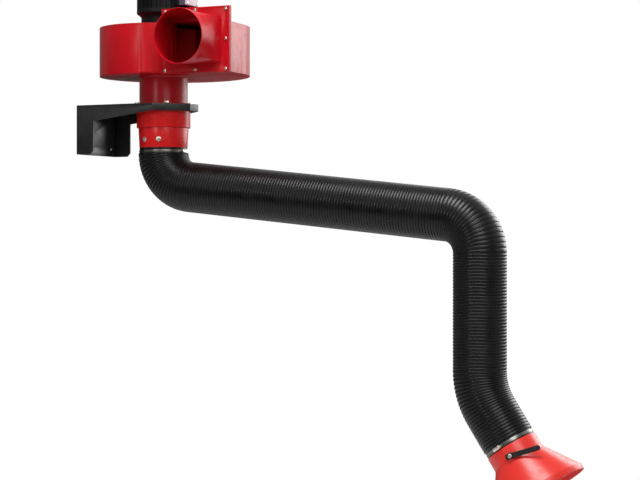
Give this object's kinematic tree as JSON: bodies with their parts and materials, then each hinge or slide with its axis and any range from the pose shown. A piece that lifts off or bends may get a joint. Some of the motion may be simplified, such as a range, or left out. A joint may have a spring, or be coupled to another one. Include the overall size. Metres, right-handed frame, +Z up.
{
  "type": "welding fume extractor",
  "caption": "Wall-mounted welding fume extractor: a bracket holds a motor-driven centrifugal fan above a swivelling jointed arm in a ribbed hose, ending in a conical hood with a damper.",
  "frame": {"origin": "centre of the wall plate's back face, which is the centre of its bolt pattern", "axes": "+X points out from the wall, +Z up, and the fan blows out towards -Y"},
  "size_m": [1.7495, 0.5406, 1.9078],
  "materials": {
    "red_paint": "deep red gloss enamel on sheet steel",
    "hood_paint": "bright orange-red gloss powder coat",
    "black_paint": "satin black powder coat",
    "motor_casting": "black enamel on cast aluminium",
    "zinc_steel": "zinc plated steel",
    "hose_plastic": "black ribbed flexible hose, satin",
    "arm_aluminium": "mill finish",
    "bearing_plastic": "plain dark moulding",
    "bearing_steel": "ground bearing steel",
    "core_iron": "laminated core",
    "gasket_rubber": "black sheet rubber",
    "grey_plastic": "light grey moulding",
    "gland_plastic": "black moulding"
  },
  "bodies": {
    "bracket_and_fan": {"wall_plate": "black_paint", "bracket_gusset_left": "black_paint", "bracket_gusset_right": "black_paint", "bracket_top_plate": "black_paint", "flange_bolts": "zinc_steel", "swivel_housing": "red_paint", "swivel_slide_ring": "bearing_plastic", "inlet_spigot": "red_paint", "inlet_cone": "black_paint", "fan_casing": "red_paint", "fan_cover": "red_paint", "outlet_gasket": "gasket_rubber", "outlet_transition": "red_paint", "outlet_bolts": "zinc_steel", "motor_screws": "zinc_steel", "motor_end_shield": "motor_casting", "motor_bearings": "bearing_steel", "motor_frame": "motor_casting", "stator_core": "core_iron", "motor_rear_shield": "motor_casting", "motor_fan_cowl": "black_paint", "terminal_box": "grey_plastic", "terminal_box_lid": "grey_plastic", "cable_gland": "gland_plastic"},
    "rotor": {"impeller": "black_paint", "impeller_screw": "zinc_steel", "motor_shaft": "zinc_steel", "rotor_core": "core_iron", "motor_cooling_fan": "bearing_plastic"},
    "swivel": {"swivel_collar": "red_paint", "collar_screws": "zinc_steel", "shoulder_yoke": "arm_aluminium", "shoulder_pivot_bolt": "zinc_steel", "shoulder_hose_clamp": "zinc_steel", "hose_shoulder_bend": "hose_plastic"},
    "upper_arm": {"upper_arm_bar": "arm_aluminium", "shoulder_friction_discs": "bearing_plastic", "elbow_friction_discs": "bearing_plastic", "hose_upper_run": "hose_plastic", "hose_elbow_bend": "hose_plastic"},
    "lower_arm": {"lower_arm_bar": "arm_aluminium", "elbow_pivot_bolt": "zinc_steel", "wrist_friction_discs": "bearing_plastic", "hose_lower_run": "hose_plastic", "hose_wrist_bend": "hose_plastic"},
    "hood": {"hood_spider": "arm_aluminium", "wrist_pivot_bolt": "zinc_steel", "hood_shell": "hood_paint", "hood_hose_clamp": "zinc_steel", "hose_hood_end": "hose_plastic", "damper_bushes": "bearing_plastic"},
    "damper": {"damper_shaft": "zinc_steel", "damper_blade": "zinc_steel", "damper_lever": "black_paint", "lever_screw": "zinc_steel"}
  },
  "joints": [
    {"name": "rotor_spin", "type": "hinge", "parent": "bracket_and_fan", "child": "rotor", "pos_m": [0.27, 0, 0.3], "axis": [0, 0, 1], "continuous": true},
    {"name": "swivel_turn", "type": "hinge", "parent": "bracket_and_fan", "child": "swivel", "pos_m": [0.27, 0, 0], "axis": [0, 0, 1], "range_deg": [-90, 90]},
    {"name": "shoulder_hinge", "type": "hinge", "parent": "swivel", "child": "upper_arm", "pos_m": [0.27, 0, -0.184], "axis": [0, 1, 0], "range_deg": [-25, 50], "deforming": ["hose_shoulder_bend"]},
    {"name": "elbow_hinge", "type": "hinge", "parent": "upper_arm", "child": "lower_arm", "pos_m": [1.41569, 0, -0.30442], "axis": [0, 1, 0], "range_deg": [-70, 20], "deforming": ["hose_elbow_bend"]},
    {"name": "wrist_hinge", "type": "hinge", "parent": "lower_arm", "child": "hood", "pos_m": [1.41569, 0, -0.84742], "axis": [0, 1, 0], "range_deg": [-27, 93], "deforming": ["hose_wrist_bend"]},
    {"name": "damper_turn", "type": "hinge", "parent": "hood", "child": "damper", "pos_m": [1.53878, 0, -1.03696], "axis": [0.124, -0.989, 0.0805], "range_deg": [0, 104]}
  ]
}
